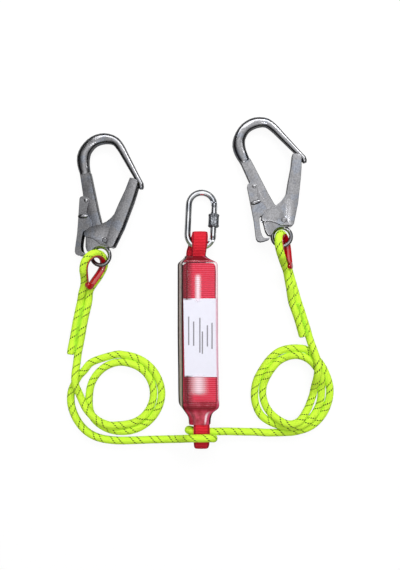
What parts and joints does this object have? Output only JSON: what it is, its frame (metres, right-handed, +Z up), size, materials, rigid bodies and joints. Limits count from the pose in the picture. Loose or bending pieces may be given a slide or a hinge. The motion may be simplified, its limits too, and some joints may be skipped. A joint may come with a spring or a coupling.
{
  "type": "twin shock-absorbing lanyard",
  "caption": "Twin fall-arrest lanyard: a rope hitched to an energy absorber, with a scaffold hook on a thimble eye at each end and a screw-lock oval carabiner on the absorber.",
  "frame": {"origin": "middle of the flat lanyard's footprint on the floor, leaving the loose rope out", "axes": "+Z up from the floor; +Y from the rope end of the absorber towards its carabiner, which is up in the picture; +X to the right in the picture"},
  "size_m": [0.4406, 0.5456, 0.0511],
  "materials": {
    "forged_steel": "satin zinc-plated forging",
    "polished_steel": "polished",
    "dark_steel": "satin",
    "spring_steel": "bright wire",
    "rope": "braided, matt",
    "webbing": "woven, matt",
    "thimble": "gloss",
    "thread": "twisted, matt",
    "label": "matt, printed with plain ruled lines",
    "film": "clear shrunk film"
  },
  "bodies": {
    "lanyard": {"shock_sleeve": "film", "tear_webbing": "webbing", "label": "label", "top_loop": "webbing", "bottom_loop": "webbing", "left_thimble": "thimble", "right_thimble": "thimble", "left_stitching": "thread", "right_stitching": "thread", "left_rope_eye": "rope", "left_rope_run": "rope", "left_rope_coil": "rope", "left_lower_run": "rope", "rope_hitch": "rope", "right_lower_run": "rope", "right_rope_coil": "rope", "right_rope_run": "rope", "right_rope_eye": "rope"},
    "left_hook": {"left_hook_body": "forged_steel", "left_gate_rivet": "polished_steel", "left_lever_rivet": "polished_steel", "left_lever_spring": "spring_steel"},
    "left_gate_body": {"left_gate": "forged_steel", "left_gate_spring": "spring_steel"},
    "left_lever_body": {"left_lock_lever": "forged_steel"},
    "right_hook": {"right_hook_body": "forged_steel", "right_gate_rivet": "polished_steel", "right_lever_rivet": "polished_steel", "right_lever_spring": "spring_steel"},
    "right_gate_body": {"right_gate": "forged_steel", "right_gate_spring": "spring_steel"},
    "right_lever_body": {"right_lock_lever": "forged_steel"},
    "carabiner": {"carabiner_body": "polished_steel", "carabiner_hinge_pin": "dark_steel"},
    "carabiner_gate_body": {"carabiner_gate": "polished_steel", "carabiner_latch_pin": "dark_steel", "carabiner_plunger": "dark_steel", "carabiner_spring": "spring_steel"},
    "screw_sleeve": {"carabiner_screw_sleeve": "polished_steel"}
  },
  "joints": [
    {"name": "left_hook_swing", "type": "hinge", "parent": "lanyard", "child": "left_hook", "pos_m": [-0.14554, 0.04313, 0.0195], "axis": [0, 0, 1], "range_deg": [-12, 12]},
    {"name": "left_gate_open", "type": "hinge", "parent": "left_hook", "child": "left_gate_body", "pos_m": [-0.13609, 0.06765, 0.01942], "axis": [-0.1045, 0.0434, 0.9936], "range_deg": [0, 31], "stiffness_Nm_per_rad": 0.6, "springref_deg": -20.05},
    {"name": "left_lever_squeeze", "type": "hinge", "parent": "left_hook", "child": "left_lever_body", "pos_m": [-0.16841, 0.13344, 0.01315], "axis": [-0.1045, 0.0434, 0.9936], "range_deg": [0, 4], "stiffness_Nm_per_rad": 2, "springref_deg": -5.73},
    {"name": "right_hook_swing", "type": "hinge", "parent": "lanyard", "child": "right_hook", "pos_m": [0.15056, 0.07443, 0.0195], "axis": [0, 0, 1], "range_deg": [-12, 12]},
    {"name": "right_gate_open", "type": "hinge", "parent": "right_hook", "child": "right_gate_body", "pos_m": [0.15375, 0.1005, 0.01867], "axis": [-0.064, 0.0395, 0.9972], "range_deg": [0, 31], "stiffness_Nm_per_rad": 0.6, "springref_deg": -20.05},
    {"name": "right_lever_squeeze", "type": "hinge", "parent": "right_hook", "child": "right_lever_body", "pos_m": [0.10614, 0.15634, 0.0134], "axis": [-0.064, 0.0395, 0.9972], "range_deg": [0, 4], "stiffness_Nm_per_rad": 2, "springref_deg": -5.73},
    {"name": "carabiner_lift", "type": "hinge", "parent": "lanyard", "child": "carabiner", "pos_m": [0.01646, 0.05723, 0.0169], "axis": [1, 0, 0], "range_deg": [0, 60]},
    {"name": "carabiner_gate_open", "type": "hinge", "parent": "carabiner", "child": "carabiner_gate_body", "pos_m": [0.038, 0.07371, 0.01507], "axis": [0.0046, 0.1044, 0.9945], "range_deg": [0, 20], "stiffness_Nm_per_rad": 0.15, "springref_deg": -17.19},
    {"name": "sleeve_screw", "type": "slide", "parent": "carabiner_gate_body", "child": "screw_sleeve", "axis": [0.0434, 0.9936, -0.1045], "range_m": [0, 0.0065]}
  ]
}
